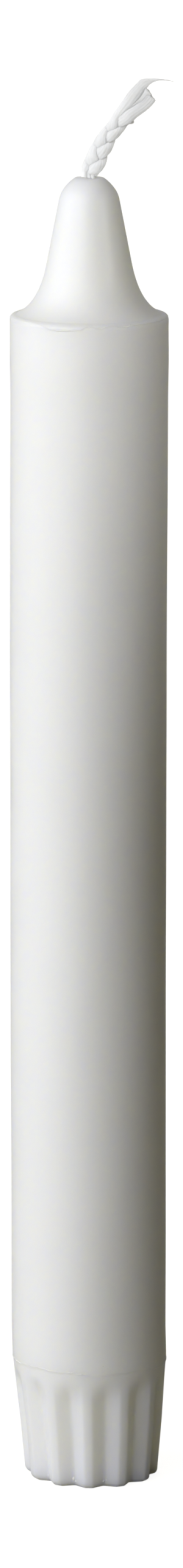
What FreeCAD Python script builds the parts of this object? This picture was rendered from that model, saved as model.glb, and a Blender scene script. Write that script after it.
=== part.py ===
import FreeCAD, Part
import math
import os
import Sketcher
from FreeCAD import Placement, Rotation, Vector

# Taper candle with a bell-shaped crown and a fluted plug foot.
# One pressed wax body stands round a flat wick plaited from three cotton strands.
# Millimetres, +Z up, origin in the middle of the foot, front towards -Y, +X to the right.

# Driving dimensions: alias, value, meaning
SIZES = (
    ("wax_length", 187.85, "foot to the top of the dome"),
    ("crown_length", 19.3, "flat lip of the shoulder to the top of the dome"),
    ("column_diameter", 22.12, "column between plug and rim"),
    ("rim_stand", 0.21, "widest ring of the shoulder beyond the column"),
    ("rim_swell_length", 11.2, "height over which the column swells to the rim"),
    ("rim_round", 0.81, "radius of the rim's edge"),
    ("lip_width", 0.585, "flat lip between the rim's edge and the bell"),
    ("cone_foot_drop", 11.95, "top of the dome down to the foot of the cone"),
    ("cone_angle", 10.9, "slope of the cone from upright, degrees"),
    ("dome_round", 3.84, "radius of the dome's arc"),
    ("dome_offset", 0.48, "centre of the dome's arc from the axis"),
    ("collar_wall", 0.16, "wax beside the wick's lay at the top of the collar"),
    ("collar_flare", 0.3, "how much the collar widens down to the dome, each side"),
    ("collar_rise", 0.62, "height of the collar above the dome"),
    ("plug_length", 16.85, "foot to the seam under the column"),
    ("seam_step", 0.13, "plug inside the column at the seam, each side"),
    ("plug_taper", 1.48, "plug's foot inside its top, each side"),
    ("seam_height", 0.4, "small slope from the plug out to the column"),
    ("foot_round", 1.0, "radius of the foot's edge"),
    ("flute_count", 12, "flutes round the plug"),
    ("flute_land_angle", 7.5, "land left between two flutes, degrees"),
    ("flute_clock_angle", 12.7, "first flute from the front towards +X, degrees"),
    ("flute_top_depth", 0.95, "depth of a flute under its run-out"),
    ("flute_foot_depth", 1.05, "depth of a flute at the foot"),
    ("flute_valley_round", 0.6, "radius in the bottom of a flute"),
    ("flute_runout", 1.9, "height over which a flute dies out"),
    ("flute_runout_sag", 0.03, "hollow left in a flute's end at its top"),
    ("flute_top_gap", 0.35, "top of a flute below the seam"),
    ("flute_brim", 0.3, "cut beyond a land's edge, sideways"),
    ("flute_overcut", 0.8, "cut beyond the wax, outwards and below the foot"),
    ("wick_lay_diameter", 0.7, "thickness of a strand in the wax"),
    ("wick_lay_gap", 0.04, "between two strands in the wax"),
    ("wick_seat_clearance", 0.02, "between a strand and the wax"),
    ("wick_ledge", 0.02, "strand's plaited part inside the outline of its buried part"),
    ("wick_neck_length", 0.5, "length over which the lay opens into the plait"),
    ("strand_swell_start", 0.02, "along the wick, where its strands start to widen"),
    ("strand_swell_length", 0.5, "length over which they widen"),
    ("plait_turns", 1.694, "turns of the plait above the wax"),
    ("plait_pitch", 5.4, "length of one full turn of the plait"),
    ("plait_swing", 0.78, "sideways swing of a strand in the plait"),
    ("plait_lift", 0.46, "front to back swing of a strand in the plait"),
    ("plait_roll", 0.38, "share of its path's slope that a strand rolls by"),
    ("strand_width", 1.56, "width of a strand in the plait"),
    ("strand_thickness", 0.56, "thickness of a strand in the plait"),
    ("knuckle_along", 9.5, "middle strand's knuckle at the right edge, along the wick"),
    ("knuckle_length", 0.55, "length over which the knuckle rises and falls, each way"),
    ("knuckle_stand", 0.42, "how far the knuckle stands out sideways"),
    ("wick_root_lean", 25.0, "lean of the wick above the wax, degrees"),
    ("wick_tip_lean", 37.6, "lean of the wick at its cut end, degrees"),
    ("wick_root_bend", 0.25, "length of the bend at the wax"),
    ("wick_bend_start", 3.6, "start of the upper bend along the wick"),
    ("wick_bend_length", 3.7, "length of the upper bend"),
    ("fan_thickness", 0.42, "thickness of a strand at its cut end"),
    ("fan_lift", 0.33, "cut ends in front of and behind the wick's middle"),
    ("left_end_along", 4.45, "left strand's end past the plait"),
    ("left_end_across", -0.97, "left strand's end across the wick"),
    ("left_end_width", 1.5, "left strand's width at its end"),
    ("middle_end_along", 4.8, "middle strand's end past the plait"),
    ("middle_end_across", 0.41, "middle strand's end across the wick"),
    ("middle_end_width", 1.2, "middle strand's width at its end"),
    ("right_end_along", 4.4, "right strand's end past the plait"),
    ("right_end_across", 1.42, "right strand's end across the wick"),
    ("right_end_width", 1.1, "right strand's width at its end"),
    ("wisp_along", 3.5, "tip of the left strand's long fibres past its end, along the wick"),
    ("wisp_across", 3.3, "the same tip across the wick"),
    ("wisp_top_rise", 0.38, "arch of the fibres' upper edge"),
    ("wisp_under_rise", 0.62, "arch of their lower edge"),
    ("wisp_tip_width", 0.12, "height of their tip"),
    ("wisp_thickness", 0.2, "thickness of the fibres, front to back"),
)

doc = FreeCAD.newDocument("taper_candle")
sheet = doc.addObject("Spreadsheet::Sheet", "sizes")
for row, (alias, value, meaning) in enumerate(SIZES, start=1):
    sheet.set(f"A{row}", meaning)
    sheet.set(f"B{row}", str(value))
    sheet.setAlias(f"B{row}", alias)
doc.recompute()

# Heights that follow from the driving dimensions
LIP_HEIGHT = "(sizes.wax_length - sizes.crown_length)"
CONE_FOOT_HEIGHT = "(sizes.wax_length - sizes.cone_foot_drop)"
DOME_CENTRE_HEIGHT = "(sizes.wax_length - sizes.dome_round)"
FLUTE_TOP_HEIGHT = "(sizes.plug_length - sizes.flute_top_gap)"
FLUTE_FULL_HEIGHT = "(sizes.plug_length - sizes.flute_top_gap - sizes.flute_runout)"

# Radii that follow from them, from the column outwards and inwards
COLUMN_RADIUS = "(sizes.column_diameter / 2)"
RIM_RADIUS = "(sizes.column_diameter / 2 + sizes.rim_stand)"
BELL_FOOT_RADIUS = "(sizes.column_diameter / 2 + sizes.rim_stand - sizes.rim_round - sizes.lip_width)"
PLUG_TOP_RADIUS = "(sizes.column_diameter / 2 - sizes.seam_step)"
PLUG_FOOT_RADIUS = "(sizes.column_diameter / 2 - sizes.seam_step - sizes.plug_taper)"
WICK_LAY_PITCH = "(sizes.wick_lay_diameter + sizes.wick_lay_gap)"
COLLAR_TOP_RADIUS = f"({WICK_LAY_PITCH} + sizes.wick_lay_diameter / 2 + sizes.collar_wall)"
COLLAR_FOOT_RADIUS = f"({COLLAR_TOP_RADIUS} + sizes.collar_flare)"

# Point numbers and axes of a sketch
START, END, CENTRE = range(1, 4)
ORIGIN = (-1, START)
ACROSS_AXIS, UP_AXIS = range(-1, -3, -1)


def size(expression):
    """Value in millimetres or degrees of an expression in the sheet's names."""
    value = sheet.evalExpression(expression)
    return float(getattr(value, "Value", value))


def origin_item(body, role):
    """Plane or axis of a body's own origin."""
    return next(item for item in body.Origin.OriginFeatures if item.Role == role)


def new_body(name):
    body = doc.addObject("PartDesign::Body", name)
    body.Label = name
    return body


def new_sketch(body, name, plane):
    sketch = body.newObject("Sketcher::SketchObject", name)
    sketch.AttachmentSupport = [(origin_item(body, plane), "")]
    sketch.MapMode = "FlatFace"
    return sketch


def add_line(sketch, start, end):
    return sketch.addGeometry(Part.LineSegment(Vector(*start, 0), Vector(*end, 0)), False)


def add_arc(sketch, centre, start, end):
    """Arc drawn anticlockwise about its centre, from start round to end."""
    radius = math.dist(centre, start)
    circle = Part.Circle(Vector(*centre, 0), Vector(0, 0, 1), radius)
    first, last = (math.atan2(point[1] - centre[1], point[0] - centre[0]) for point in (start, end))
    return sketch.addGeometry(Part.ArcOfCircle(circle, first, last), False)


def constrain(sketch, kind, *references):
    sketch.addConstraint(Sketcher.Constraint(kind, *references))


def dimension(sketch, name, kind, references, expression, factor=1.0):
    """Driving dimension of a sketch, tied to the sheet."""
    index = sketch.addConstraint(Sketcher.Constraint(kind, *references, size(expression) * factor))
    sketch.renameConstraint(index, name)
    sketch.setExpression(f"Constraints.{name}", expression)


def place_point(sketch, name, point, across=None, up=None):
    """Distances of a point from the middle of the sketch."""
    if across:
        dimension(sketch, f"{name}_across", "DistanceX", (*ORIGIN, *point), across)
    if up:
        dimension(sketch, f"{name}_up", "DistanceY", (*ORIGIN, *point), up)


def wax_outline(body):
    """Half outline of the wax: foot, plug, column, rim, flat lip, bell, cone, dome and wick collar."""
    sketch = new_sketch(body, "wax_outline", "XZ_Plane")

    lip_height = size(LIP_HEIGHT)
    plug_foot_radius = size(PLUG_FOOT_RADIUS)
    plug_top = (size(PLUG_TOP_RADIUS), size("sizes.plug_length"))
    column_radius = size(COLUMN_RADIUS)
    column_foot = (column_radius, size("sizes.plug_length + sizes.seam_height"))
    swell_foot = (column_radius, lip_height - size("sizes.rim_swell_length"))
    rim_radius = size(RIM_RADIUS)
    rim_round = size("sizes.rim_round")
    rim_side = (rim_radius, lip_height - rim_round)
    rim_top = (rim_radius - rim_round, lip_height)
    bell_foot = (size(BELL_FOOT_RADIUS), lip_height)
    collar_foot_radius = size(COLLAR_FOOT_RADIUS)

    # The foot's rounded edge touches both the foot and the sloping side of the plug.
    foot_round = size("sizes.foot_round")
    side_slope = math.atan2(plug_top[0] - plug_foot_radius, plug_top[1])
    setback = foot_round * math.tan((math.pi / 2 - side_slope) / 2)
    foot_in = (plug_foot_radius - setback, 0)
    foot_out = (plug_foot_radius + setback * math.sin(side_slope), setback * math.cos(side_slope))

    # The cone touches the dome, and the bell leaves the cone along its slope.
    cone_slope = math.radians(size("sizes.cone_angle"))
    outward = (math.cos(cone_slope), math.sin(cone_slope))
    dome_round = size("sizes.dome_round")
    dome_centre = (size("sizes.dome_offset"), size(DOME_CENTRE_HEIGHT))
    cone_top = (dome_centre[0] + dome_round * outward[0], dome_centre[1] + dome_round * outward[1])
    cone_foot_height = size(CONE_FOOT_HEIGHT)
    cone_foot = (cone_top[0] + (cone_top[1] - cone_foot_height) * math.tan(cone_slope), cone_foot_height)
    reach = (bell_foot[0] - cone_foot[0], bell_foot[1] - cone_foot[1])
    bell_round = math.hypot(*reach) ** 2 / (2 * (reach[0] * outward[0] + reach[1] * outward[1]))
    bell_centre = (cone_foot[0] + bell_round * outward[0], cone_foot[1] + bell_round * outward[1])
    dome_top = math.sqrt(dome_round ** 2 - (collar_foot_radius - dome_centre[0]) ** 2)
    collar_foot = (collar_foot_radius, dome_centre[1] + dome_top)
    collar_top = (size(COLLAR_TOP_RADIUS), collar_foot[1] + size("sizes.collar_rise"))

    foot = add_line(sketch, (0, 0), foot_in)
    foot_edge = add_arc(sketch, (foot_in[0], foot_round), foot_in, foot_out)
    plug_side = add_line(sketch, foot_out, plug_top)
    seam = add_line(sketch, plug_top, column_foot)
    column = add_line(sketch, column_foot, swell_foot)
    swell = add_line(sketch, swell_foot, rim_side)
    rim_edge = add_arc(sketch, (rim_top[0], rim_side[1]), rim_side, rim_top)
    lip = add_line(sketch, rim_top, bell_foot)
    bell = add_arc(sketch, bell_centre, cone_foot, bell_foot)
    cone = add_line(sketch, cone_foot, cone_top)
    dome = add_arc(sketch, dome_centre, cone_top, collar_foot)
    collar_side = add_line(sketch, collar_foot, collar_top)
    collar_flat = add_line(sketch, collar_top, (0, collar_top[1]))
    middle = add_line(sketch, (0, collar_top[1]), (0, 0))
    plug_corner = sketch.addGeometry(Part.Point(Vector(plug_foot_radius, 0, 0)), True)

    constrain(sketch, "Coincident", foot, START, *ORIGIN)
    constrain(sketch, "Tangent", foot, END, foot_edge, START)
    constrain(sketch, "Tangent", foot_edge, END, plug_side, START)
    constrain(sketch, "Coincident", plug_side, END, seam, START)
    constrain(sketch, "Coincident", seam, END, column, START)
    constrain(sketch, "Coincident", column, END, swell, START)
    constrain(sketch, "Coincident", swell, END, rim_edge, START)
    constrain(sketch, "Tangent", rim_edge, END, lip, START)
    constrain(sketch, "Coincident", lip, END, bell, END)
    constrain(sketch, "Tangent", bell, START, cone, START)
    constrain(sketch, "Tangent", cone, END, dome, START)
    constrain(sketch, "Coincident", dome, END, collar_side, START)
    constrain(sketch, "Coincident", collar_side, END, collar_flat, START)
    constrain(sketch, "Coincident", collar_flat, END, middle, START)
    constrain(sketch, "Coincident", middle, END, *ORIGIN)
    for level in (foot, lip, collar_flat):
        constrain(sketch, "Horizontal", level)
    for upright in (column, middle):
        constrain(sketch, "Vertical", upright)
    constrain(sketch, "PointOnObject", plug_corner, START, ACROSS_AXIS)
    constrain(sketch, "PointOnObject", plug_corner, START, plug_side)

    place_point(sketch, "plug_corner", (plug_corner, START), across=PLUG_FOOT_RADIUS)
    place_point(sketch, "plug_top", (plug_side, END), PLUG_TOP_RADIUS, "sizes.plug_length")
    place_point(sketch, "column_foot", (seam, END), COLUMN_RADIUS, "sizes.plug_length + sizes.seam_height")
    place_point(sketch, "swell_foot", (column, END), up=LIP_HEIGHT + " - sizes.rim_swell_length")
    place_point(sketch, "rim_side", (swell, END), RIM_RADIUS, LIP_HEIGHT + " - sizes.rim_round")
    place_point(sketch, "bell_foot", (lip, END), BELL_FOOT_RADIUS, LIP_HEIGHT)
    place_point(sketch, "cone_foot", (cone, START), up=CONE_FOOT_HEIGHT)
    place_point(sketch, "dome_centre", (dome, CENTRE), "sizes.dome_offset", DOME_CENTRE_HEIGHT)
    place_point(sketch, "collar_foot", (dome, END), across=COLLAR_FOOT_RADIUS)
    place_point(sketch, "collar_top", (collar_side, END), across=COLLAR_TOP_RADIUS)
    dimension(sketch, "collar_rise", "DistanceY", (collar_side, START, collar_side, END), "sizes.collar_rise")
    dimension(sketch, "foot_round", "Radius", (foot_edge,), "sizes.foot_round")
    dimension(sketch, "rim_round", "Radius", (rim_edge,), "sizes.rim_round")
    dimension(sketch, "dome_round", "Radius", (dome,), "sizes.dome_round")
    dimension(sketch, "cone_slope", "Angle", (UP_AXIS, cone), "sizes.cone_angle * 1 deg", math.pi / 180)
    doc.recompute()
    if sketch.getPoint(cone, START).x < sketch.getPoint(cone, END).x:
        raise RuntimeError("the cone does not widen towards the bell")
    return sketch


def flute_section(body, name, height, radius, valley):
    """Level cut through one flute: a wide V with a rounded bottom, open outwards."""
    sketch = new_sketch(body, name, "XY_Plane")
    bearing = "sizes.flute_clock_angle - 90"
    sketch.AttachmentOffset = Placement(Vector(0, 0, size(height)), Rotation(Vector(0, 0, 1), size(bearing)))
    sketch.setExpression(".AttachmentOffset.Base.z", height)
    sketch.setExpression(".AttachmentOffset.Rotation.Angle", f"({bearing}) * 1 deg")

    half_angle = "(180 / sizes.flute_count - sizes.flute_land_angle / 2) * 1 deg"
    land_across = f"({radius}) * cos({half_angle})"
    land_side = f"({radius}) * sin({half_angle})"
    brim_side = f"{land_side} + sizes.flute_brim"
    valley_centre = f"{valley} + sizes.flute_valley_round"
    outer_across = f"{radius} + sizes.flute_overcut"

    # Each side passes through the land's edge and touches the valley's circle.
    valley_round = size("sizes.flute_valley_round")
    centre = size(valley_centre)
    edge = (size(land_across), size(land_side))
    outer = size(outer_across)
    turn = math.atan2(edge[1], edge[0] - centre) + math.acos(valley_round / math.dist(edge, (centre, 0)))
    touch = (centre + valley_round * math.cos(turn), valley_round * math.sin(turn))
    rise = (edge[0] - touch[0]) / (edge[1] - touch[1])
    brim = (edge[0] + size("sizes.flute_brim") * rise, size(brim_side))

    left_side = add_line(sketch, touch, brim)
    left_cheek = add_line(sketch, brim, (outer, brim[1]))
    mouth = add_line(sketch, (outer, brim[1]), (outer, -brim[1]))
    right_cheek = add_line(sketch, (outer, -brim[1]), (brim[0], -brim[1]))
    right_side = add_line(sketch, (brim[0], -brim[1]), (touch[0], -touch[1]))
    floor = add_arc(sketch, (centre, 0), touch, (touch[0], -touch[1]))
    land_edge = sketch.addGeometry(Part.Point(Vector(*edge, 0)), True)

    constrain(sketch, "Coincident", left_side, END, left_cheek, START)
    constrain(sketch, "Coincident", left_cheek, END, mouth, START)
    constrain(sketch, "Coincident", mouth, END, right_cheek, START)
    constrain(sketch, "Coincident", right_cheek, END, right_side, START)
    constrain(sketch, "Tangent", right_side, END, floor, END)
    constrain(sketch, "Tangent", floor, START, left_side, START)
    constrain(sketch, "Horizontal", left_cheek)
    constrain(sketch, "Symmetric", mouth, START, mouth, END, ACROSS_AXIS)
    constrain(sketch, "Symmetric", left_side, END, right_side, START, ACROSS_AXIS)
    constrain(sketch, "PointOnObject", floor, CENTRE, ACROSS_AXIS)
    constrain(sketch, "PointOnObject", land_edge, START, left_side)
    place_point(sketch, "land_edge", (land_edge, START), land_across, land_side)
    place_point(sketch, "brim", (left_side, END), up=brim_side)
    place_point(sketch, "mouth", (mouth, START), across=outer_across)
    place_point(sketch, "valley_centre", (floor, CENTRE), across=valley_centre)
    dimension(sketch, "valley_round", "Radius", (floor,), "sizes.flute_valley_round")
    return sketch


def wick_seat(body):
    """Slot that the flat lay of three strands fills, along the whole wax."""
    sketch = new_sketch(body, "wick_seat", "XY_Plane")
    radius_rule = "sizes.wick_lay_diameter / 2 + sizes.wick_seat_clearance"
    radius = size(radius_rule)
    end = size(WICK_LAY_PITCH)
    front = add_line(sketch, (-end, -radius), (end, -radius))
    right = add_arc(sketch, (end, 0), (end, -radius), (end, radius))
    back = add_line(sketch, (end, radius), (-end, radius))
    left = add_arc(sketch, (-end, 0), (-end, radius), (-end, -radius))
    for edge, following in ((front, right), (right, back), (back, left), (left, front)):
        constrain(sketch, "Tangent", edge, END, following, START)
    constrain(sketch, "Equal", left, right)
    constrain(sketch, "Symmetric", left, CENTRE, right, CENTRE, *ORIGIN)
    constrain(sketch, "PointOnObject", right, CENTRE, ACROSS_AXIS)
    place_point(sketch, "right_strand", (right, CENTRE), across=WICK_LAY_PITCH)
    dimension(sketch, "seat_radius", "Radius", (right,), radius_rule)
    return sketch


def wax_body():
    """Turned wax with its flutes and the seat of the wick."""
    body = new_body("wax_body")
    turned = body.newObject("PartDesign::Revolution", "turned_wax")
    outline = wax_outline(body)
    turned.Profile = outline
    turned.ReferenceAxis = (outline, ["V_Axis"])
    turned.Angle = 360
    doc.recompute()
    turned_volume = body.Shape.Volume

    slope = "sizes.plug_taper / sizes.plug_length"
    half_angle = "(180 / sizes.flute_count - sizes.flute_land_angle / 2) * 1 deg"
    foot_height = "-sizes.flute_overcut"
    foot_radius = f"{PLUG_FOOT_RADIUS} + {slope} * {foot_height}"
    full_radius = f"{PLUG_FOOT_RADIUS} + {slope} * {FLUTE_FULL_HEIGHT}"
    runout_radius = f"{COLUMN_RADIUS} + sizes.flute_brim"
    flute = body.newObject("PartDesign::SubtractiveLoft", "flute")
    flute.Profile = flute_section(
        body, "flute_foot", foot_height, foot_radius, f"{foot_radius} - sizes.flute_foot_depth")
    flute.Sections = [
        flute_section(body, "flute_full", FLUTE_FULL_HEIGHT, full_radius,
                      f"{full_radius} - sizes.flute_top_depth"),
        flute_section(body, "flute_runout_end", FLUTE_TOP_HEIGHT, runout_radius,
                      f"({runout_radius}) * cos({half_angle}) - sizes.flute_runout_sag"),
    ]
    flute.Ruled = True
    doc.recompute()
    flute_volume = turned_volume - body.Shape.Volume

    ring = body.newObject("PartDesign::PolarPattern", "flute_ring")
    ring.Originals = [flute]
    ring.Axis = (origin_item(body, "Z_Axis"), [""])
    ring.Angle = 360
    ring.setExpression("Occurrences", "sizes.flute_count")
    body.Tip = ring
    doc.recompute()
    fluted_volume = body.Shape.Volume
    if fluted_volume > turned_volume - 0.99 * flute_volume * size("sizes.flute_count"):
        raise RuntimeError("the ring of flutes is not cut all round")

    bore = body.newObject("PartDesign::Pocket", "wick_bore")
    bore.Profile = wick_seat(body)
    bore.Type = "ThroughAll"
    bore.Reversed = True
    body.Tip = bore
    doc.recompute()
    if body.Shape.Volume >= fluted_volume:
        raise RuntimeError("the bore of the wick is not cut")
    return body


def eased(share):
    """Smooth rise from 0 to 1 while the share goes from 0 to 1."""
    share = min(max(share, 0.0), 1.0)
    return share * share * (3 - 2 * share)


def mix(first, second, share):
    return first + (second - first) * share


# Wick: heights and lengths that its strands share
WICK_ROOT_HEIGHT = (
    size(DOME_CENTRE_HEIGHT) + size("sizes.collar_rise")
    + math.sqrt(size("sizes.dome_round") ** 2 - (size(COLLAR_FOOT_RADIUS) - size("sizes.dome_offset")) ** 2)
)
PLAIT_PITCH = size("sizes.plait_pitch")
NECK_LENGTH = size("sizes.wick_neck_length")
PLAITED_LENGTH = size("sizes.plait_turns") * PLAIT_PITCH + NECK_LENGTH
LAY_RADIUS = size("sizes.wick_lay_diameter / 2") - size("sizes.wick_ledge")
BEHIND = Vector(0, 1, 0)

# How finely a strand is followed along its length
STATION_COUNT_PER_TURN = 10
AXIS_STEP_COUNT_PER_STATION = 8
STATION_SPACING = PLAIT_PITCH / STATION_COUNT_PER_TURN
AXIS_STEP = STATION_SPACING / AXIS_STEP_COUNT_PER_STATION

# Degree of the smooth skin both along a strand and around it
DEGREE_COUNT = 3


def spread(points_per_wave):
    """How far the control points of a smooth wave stand out beyond the wave itself."""
    return 3 / (2 + math.cos(2 * math.pi / points_per_wave))


OVAL_POINT_COUNT = 8
OVAL_SPREAD = spread(OVAL_POINT_COUNT)
SWING_SPREAD = spread(STATION_COUNT_PER_TURN)
LIFT_SPREAD = spread(STATION_COUNT_PER_TURN / 2)


def direction(angle):
    """Direction in the wick's plane at an angle from upright towards the right."""
    return Vector(math.sin(angle), 0, math.cos(angle))


def crosswise(angle):
    """Direction square to that one, towards the right."""
    return Vector(math.cos(angle), 0, -math.sin(angle))


def wick_lean(along):
    """Lean of the wick to the right at a length above the wax, in radians."""
    root_share = eased(along / size("sizes.wick_root_bend"))
    bend_share = eased((along - size("sizes.wick_bend_start")) / size("sizes.wick_bend_length"))
    root_lean = size("sizes.wick_root_lean") * root_share
    return math.radians(mix(root_lean, size("sizes.wick_tip_lean"), bend_share))


def wick_axis(along):
    """Point of the wick's middle line at a length above the wax."""
    steps = max(1, round(along / AXIS_STEP))
    step = along / steps
    point = Vector(0, 0, WICK_ROOT_HEIGHT)
    for index in range(steps):
        point += direction(wick_lean((index + 0.5) * step)) * step
    return point


def plait_advance(along):
    """Turn of the plait in radians, starting and ending at rest over half a neck each."""
    along = min(along, PLAITED_LENGTH)
    if along < NECK_LENGTH:
        run = along ** 2 / (2 * NECK_LENGTH)
    elif along > PLAITED_LENGTH - NECK_LENGTH:
        run = PLAITED_LENGTH - NECK_LENGTH - (PLAITED_LENGTH - along) ** 2 / (2 * NECK_LENGTH)
    else:
        run = along - NECK_LENGTH / 2
    return 2 * math.pi * run / PLAIT_PITCH


def oval(middle, across, half_width, half_thickness, roll):
    """Control points of a strand's closed outline, square to the wick."""
    points = []
    for index in range(OVAL_POINT_COUNT):
        angle = 2 * math.pi * index / OVAL_POINT_COUNT - roll
        flat = half_width * OVAL_SPREAD * math.cos(angle)
        thick = half_thickness * OVAL_SPREAD * math.sin(angle)
        points.append(middle
                      + across * (flat * math.cos(roll) - thick * math.sin(roll))
                      + BEHIND * (flat * math.sin(roll) + thick * math.cos(roll)))
    return points


def skinned_solid(rings):
    """Solid under one smooth surface through rings of control points, with flat ends."""
    spans = len(rings) - DEGREE_COUNT
    end_knot, inner_knot = DEGREE_COUNT + 1, 1
    surface = Part.BSplineSurface()
    surface.buildFromPolesMultsKnots(
        rings, [end_knot] + [inner_knot] * (spans - 1) + [end_knot], [inner_knot] * (OVAL_POINT_COUNT + 1),
        list(range(spans + 1)), list(range(OVAL_POINT_COUNT + 1)), False, True, DEGREE_COUNT, DEGREE_COUNT)
    side = surface.toShape()
    caps = [Part.Face(Part.Wire([edge])) for edge in side.Edges if edge.isClosed()]
    skin = Part.makeCompound([side, *caps])
    skin.sewShape()
    return Part.Solid(Part.Shell(skin.Faces))


def strand_section(phase, lay_across, end, along):
    """Place across and behind the wick's middle, half width, half thickness and roll of a strand."""
    swing, lift = size("sizes.plait_swing"), size("sizes.plait_lift")
    turn = phase + plait_advance(along)
    side_speed = swing * math.cos(turn)
    depth_speed = -2 * lift * math.cos(2 * turn)
    roll = math.atan2(
        size("sizes.plait_roll") * math.copysign(depth_speed, depth_speed * side_speed), abs(side_speed))
    open_share = eased(along / NECK_LENGTH)
    swell_share = eased((along - size("sizes.strand_swell_start")) / size("sizes.strand_swell_length"))
    section = (
        mix(lay_across, SWING_SPREAD * swing * math.sin(turn), open_share),
        mix(0.0, -LIFT_SPREAD * lift * math.sin(2 * turn), open_share),
        mix(LAY_RADIUS, size("sizes.strand_width / 2"), swell_share),
        mix(LAY_RADIUS, size("sizes.strand_thickness / 2"), swell_share),
        roll,
    )
    fanned = (end["across"], end["behind"], end["width"] / 2, size("sizes.fan_thickness / 2"), 0.0)
    fan_share = eased((along - PLAITED_LENGTH) / end["along"])
    section = [mix(low, high, fan_share) for low, high in zip(section, fanned)]
    knuckle_place = (along - size("sizes.knuckle_along")) / size("sizes.knuckle_length")
    section[0] += end["knuckle"] * math.exp(-knuckle_place ** 2)
    return section


def arched(start, end, rise):
    """Arc from start to end that stands off its chord by a rise, upwards in the wick's plane."""
    chord = end - start
    normal = Vector(-chord.z, 0, chord.x).normalize()
    if normal.z < 0:
        normal = -normal
    return Part.Arc(start, (start + end) / 2 + normal * rise, end).toShape()


def wisp(end_middle, lean, end_width):
    """Long fibres that run on from the left strand's end and arch away to the right, as a thin leaf."""
    across = crosswise(lean)
    tip = end_middle + direction(lean) * size("sizes.wisp_along") + across * size("sizes.wisp_across")
    tip_drop = Vector(0, 0, size("sizes.wisp_tip_width / 2"))
    outer_corner = end_middle - across * (end_width / 2)
    inner_corner = end_middle + across * (end_width / 2)
    outline = Part.Wire([
        arched(outer_corner, tip + tip_drop, size("sizes.wisp_top_rise")),
        Part.makeLine(tip + tip_drop, tip - tip_drop),
        arched(tip - tip_drop, inner_corner, size("sizes.wisp_under_rise")),
        Part.makeLine(inner_corner, outer_corner),
    ])
    thickness = size("sizes.wisp_thickness")
    leaf = Part.Face(outline).extrude(BEHIND * thickness)
    leaf.translate(BEHIND * (-thickness / 2))
    return leaf


def wick_strand(name, phase, lay_across, end, has_wisp=False):
    """One cotton strand: straight in the wax, plaited above it, and spread flat at its cut end."""
    length = PLAITED_LENGTH + end["along"]
    stations = round(length / STATION_SPACING)
    rings = []
    for station in range(stations + 1):
        along = length * station / stations
        across_place, behind_place, half_width, half_thickness, roll = strand_section(
            phase, lay_across, end, along)
        lean = wick_lean(along)
        middle = wick_axis(along) + crosswise(lean) * across_place + BEHIND * behind_place
        rings.append(oval(middle, crosswise(lean), half_width, half_thickness, roll))

    buried = Part.makeCylinder(size("sizes.wick_lay_diameter / 2"), WICK_ROOT_HEIGHT, Vector(lay_across, 0, 0))
    strand = buried.fuse(skinned_solid(rings))
    if has_wisp:
        strand = strand.fuse(wisp(middle, lean, end["width"]))
    feature = doc.addObject("Part::Feature", name)
    feature.Label = name
    feature.Shape = strand
    feature.Placement = Placement()
    return feature


def strand_end(side, behind, knuckle=0.0):
    """Size and place of a strand's cut end, from the sheet, and how far its knuckle stands out."""
    return {
        "along": size(f"sizes.{side}_end_along"),
        "across": size(f"sizes.{side}_end_across"),
        "width": size(f"sizes.{side}_end_width"),
        "behind": behind,
        "knuckle": knuckle,
    }


def wick_strands():
    """The three strands, a third of a turn apart, named by the side of the fan where they end."""
    third = 2 * math.pi / 3
    pitch = size(WICK_LAY_PITCH)
    fan_lift = size("sizes.fan_lift")
    return [
        wick_strand("wick_strand_left", 0.0, 0.0, strand_end("left", 0.0), has_wisp=True),
        wick_strand("wick_strand_middle", -third, -pitch,
                    strand_end("middle", fan_lift, size("sizes.knuckle_stand"))),
        wick_strand("wick_strand_right", third, pitch, strand_end("right", -fan_lift)),
    ]


pieces = [wax_body(), *wick_strands()]
doc.recompute()

for item in doc.Objects:
    if "Invalid" in item.State or "Error" in item.State:
        raise RuntimeError(f"{item.Name} did not build: {item.State}")
    if item.TypeId == "Sketcher::SketchObject" and not item.FullyConstrained:
        raise RuntimeError(f"{item.Name} is not fully constrained")

for piece in pieces:
    if piece.Shape.isNull() or not piece.Shape.isValid() or len(piece.Shape.Solids) != 1:
        raise RuntimeError(f"{piece.Label} is not one valid solid")

os.makedirs("parts", exist_ok=True)
for piece in pieces:
    piece.Shape.exportStep(f"parts/{piece.Label}.step")
    print(piece.Label, round(piece.Shape.Volume, 3), "cubic millimetres")
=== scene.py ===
import math
import random

import bpy
import numpy as np
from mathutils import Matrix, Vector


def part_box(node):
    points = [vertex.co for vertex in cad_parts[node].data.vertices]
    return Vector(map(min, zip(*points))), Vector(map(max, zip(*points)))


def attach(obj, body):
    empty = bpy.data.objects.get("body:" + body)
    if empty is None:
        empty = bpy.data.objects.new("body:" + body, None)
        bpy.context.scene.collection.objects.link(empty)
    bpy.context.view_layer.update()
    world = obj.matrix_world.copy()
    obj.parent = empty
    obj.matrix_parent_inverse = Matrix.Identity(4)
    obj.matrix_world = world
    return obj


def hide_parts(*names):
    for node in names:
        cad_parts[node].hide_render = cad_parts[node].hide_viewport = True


# Taper candle with a bell-shaped crown, a fluted plug foot and a plaited cotton wick.
# Sizes are in millimetres and meshes in metres, +Z up, the foot at the origin, the front towards -Y.

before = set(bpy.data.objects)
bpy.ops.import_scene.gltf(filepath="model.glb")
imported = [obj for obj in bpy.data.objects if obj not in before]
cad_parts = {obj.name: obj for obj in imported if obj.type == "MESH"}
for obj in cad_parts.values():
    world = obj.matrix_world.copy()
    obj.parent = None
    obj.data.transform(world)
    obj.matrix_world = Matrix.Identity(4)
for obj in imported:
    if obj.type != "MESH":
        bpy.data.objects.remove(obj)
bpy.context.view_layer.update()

MM = 0.001
HALF_TURN = math.pi
FULL_TURN = 2 * math.pi
draw = random.Random(22)


# Sizes of the wax

WAX_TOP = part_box("wax_body")[1][2] / MM
RIM_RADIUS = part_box("wax_body")[1][1] / MM

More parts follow.
